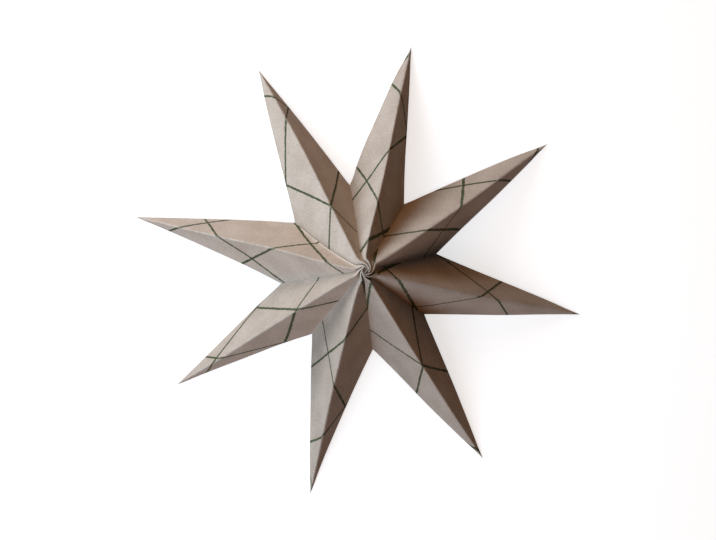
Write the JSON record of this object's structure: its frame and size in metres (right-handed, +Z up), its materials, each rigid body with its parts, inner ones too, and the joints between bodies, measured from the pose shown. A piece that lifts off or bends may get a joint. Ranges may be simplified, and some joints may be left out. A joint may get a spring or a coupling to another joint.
{
  "type": "origami star",
  "caption": "Relief star of folded kraft paper units, lapped and glued in a ring, with small curled tips at the raised centre.",
  "frame": {"origin": "centre of the bounding box, on the surface that the star lies on", "axes": "+Z up out of the star's face, +Y towards the upper pair of points in the picture, +X to its right"},
  "size_m": [0.2222, 0.2238, 0.0447],
  "materials": {
    "kraft_paper": "matt brown kraft paper with a printed grid of thin green lines"
  },
  "bodies": {
    "root": {"point_1": "kraft_paper", "point_2": "kraft_paper", "point_3": "kraft_paper", "point_4": "kraft_paper", "point_5": "kraft_paper", "point_6": "kraft_paper", "point_7": "kraft_paper", "point_8": "kraft_paper"}
  },
  "joints": []
}
